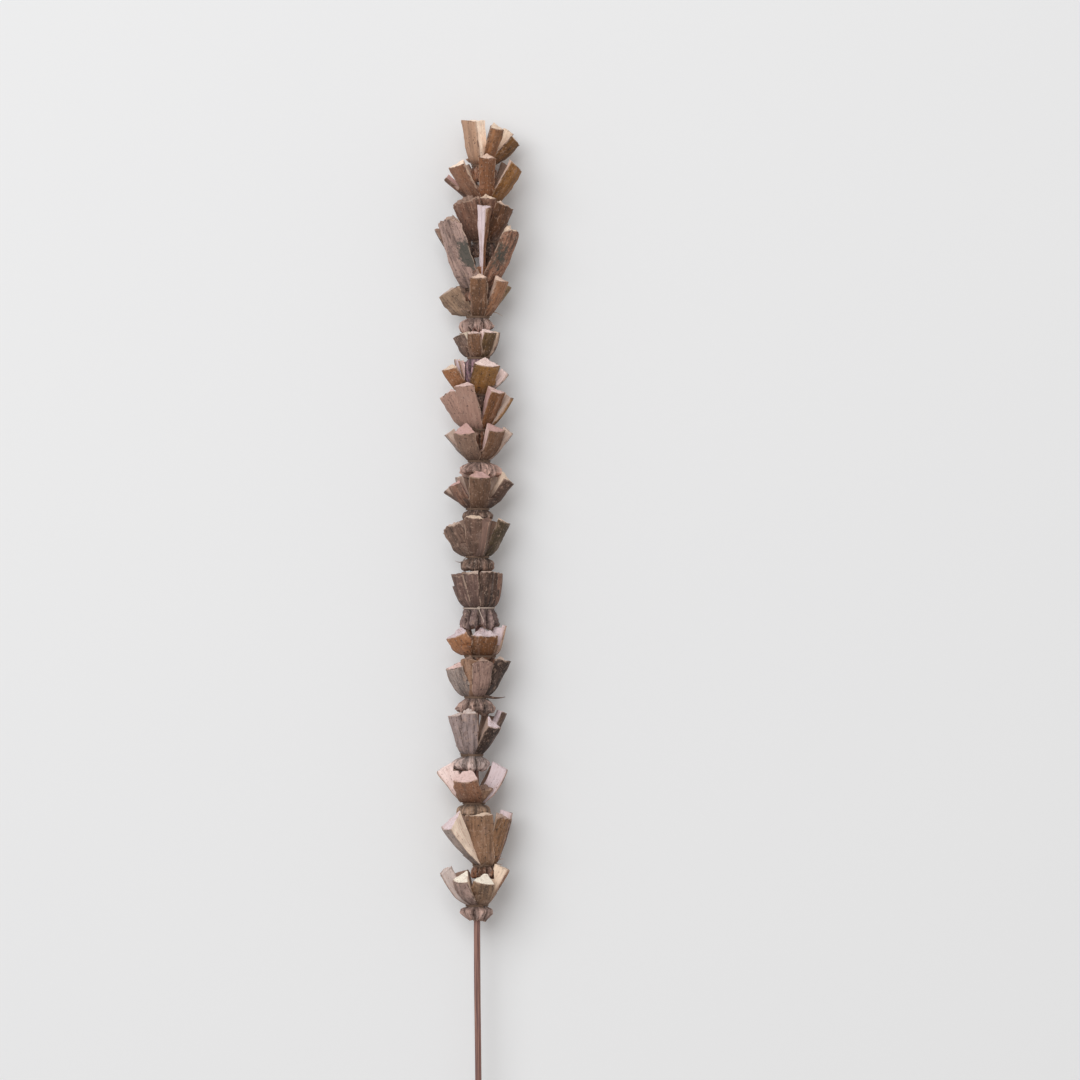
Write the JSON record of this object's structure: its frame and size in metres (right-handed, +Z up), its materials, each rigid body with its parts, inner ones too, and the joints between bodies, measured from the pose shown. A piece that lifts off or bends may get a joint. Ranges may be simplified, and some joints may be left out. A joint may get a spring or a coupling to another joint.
{
  "type": "dried sola bakuli stem",
  "caption": "Dried decorative stem lying on its side: split, thread-tied cups of sola stalk with brown bark and pale pith, threaded one above the other on a slim stick.",
  "frame": {"origin": "on the surface that the stem lies on, under the middle of its box", "axes": "+Y along the stick, from its cut end towards the stem's tip; +Z up from the surface"},
  "size_m": [0.0444, 0.6004, 0.039],
  "materials": {
    "sola_tan": "dry tan-brown bark skin over matt pinkish-cream pith",
    "sola_brown": "dry mauve-brown bark skin over matt pinkish-cream pith",
    "sola_grey": "weathered grey-mauve bark skin over matt lilac-cream pith",
    "sola_dark": "dark brown bark skin over matt cream pith",
    "thread": "fine twisted cotton thread, dusty cream",
    "stick_bark": "thin purple-brown stick with fine lengthwise grain"
  },
  "bodies": {
    "root": {"stick": "stick_bark", "cup_01": "sola_tan", "cup_02": "sola_tan", "cup_03": "sola_brown", "cup_04": "sola_grey", "cup_05": "sola_brown", "cup_06": "sola_dark", "cup_07": "sola_tan", "cup_08": "sola_tan", "cup_09": "sola_brown", "cup_10": "sola_tan", "cup_11": "sola_brown", "cup_12": "sola_dark", "cup_13": "sola_tan", "cup_14": "sola_grey", "cup_15": "sola_grey", "cup_16": "sola_brown", "cup_17": "sola_tan", "cup_18": "sola_brown", "tie_01": "thread", "tie_02": "thread", "tie_03": "thread", "tie_04": "thread", "tie_05": "thread", "tie_06": "thread", "tie_07": "thread", "tie_08": "thread", "tie_09": "thread", "tie_10": "thread", "tie_11": "thread", "tie_12": "thread", "tie_13": "thread", "tie_14": "thread", "tie_15": "thread", "tie_16": "thread", "tie_17": "thread", "tie_18": "thread"}
  },
  "joints": []
}
